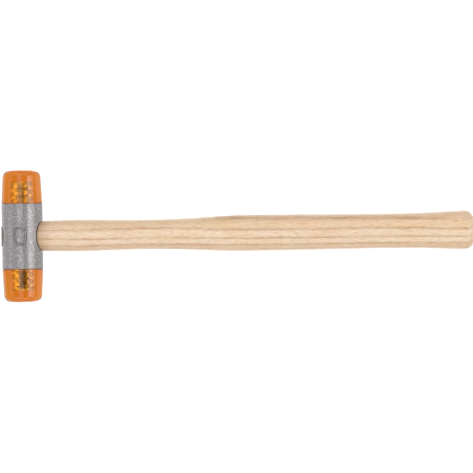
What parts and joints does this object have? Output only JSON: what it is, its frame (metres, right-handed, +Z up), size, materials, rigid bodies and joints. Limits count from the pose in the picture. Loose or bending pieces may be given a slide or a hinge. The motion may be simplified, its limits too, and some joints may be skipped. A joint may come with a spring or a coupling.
{
  "type": "soft face hammer",
  "caption": "Small hammer with a round cast housing, amber plastic striking faces that screw on at both ends on steel studs, and a wedged oval ash handle.",
  "frame": {"origin": "under the middle of the hammer's length, on the surface that it lies on", "axes": "+X along the handle from the head to the butt, +Y along the head to the upper face, +Z up through the handle's thickness"},
  "size_m": [0.2553, 0.071, 0.0223],
  "materials": {
    "cast_metal": "grey sand-cast skin, shot-blasted",
    "amber_plastic": "clear amber cellulose acetate",
    "steel": "bright zinc plating",
    "ash": "sanded and waxed ash",
    "wedge_wood": "split beech"
  },
  "bodies": {
    "hammer": {"head_housing": "cast_metal", "handle": "ash", "wooden_wedge": "wedge_wood", "steel_wedge": "steel"},
    "upper_stud": {"upper_stud": "steel"},
    "upper_face": {"upper_face": "amber_plastic"},
    "lower_stud": {"lower_stud": "steel"},
    "lower_face": {"lower_face": "amber_plastic"}
  },
  "joints": [
    {"name": "upper_stud_travel", "type": "slide", "parent": "hammer", "child": "upper_stud", "axis": [0, 1, 0], "range_m": [0, 0.0075]},
    {"name": "upper_face_turn", "type": "hinge", "parent": "upper_stud", "child": "upper_face", "pos_m": [-0.11635, 0.0177, 0.011], "axis": [0, 1, 0], "range_deg": [0, 2160]},
    {"name": "lower_stud_travel", "type": "slide", "parent": "hammer", "child": "lower_stud", "axis": [0, -1, 0], "range_m": [0, 0.0075]},
    {"name": "lower_face_turn", "type": "hinge", "parent": "lower_stud", "child": "lower_face", "pos_m": [-0.11635, -0.0177, 0.011], "axis": [0, -1, 0], "range_deg": [0, 2160]}
  ],
  "couplings": [
    {"joint": "upper_stud_travel", "follows": "upper_face_turn", "m_per_rad": 0.00019894},
    {"joint": "lower_stud_travel", "follows": "lower_face_turn", "m_per_rad": 0.00019894}
  ]
}
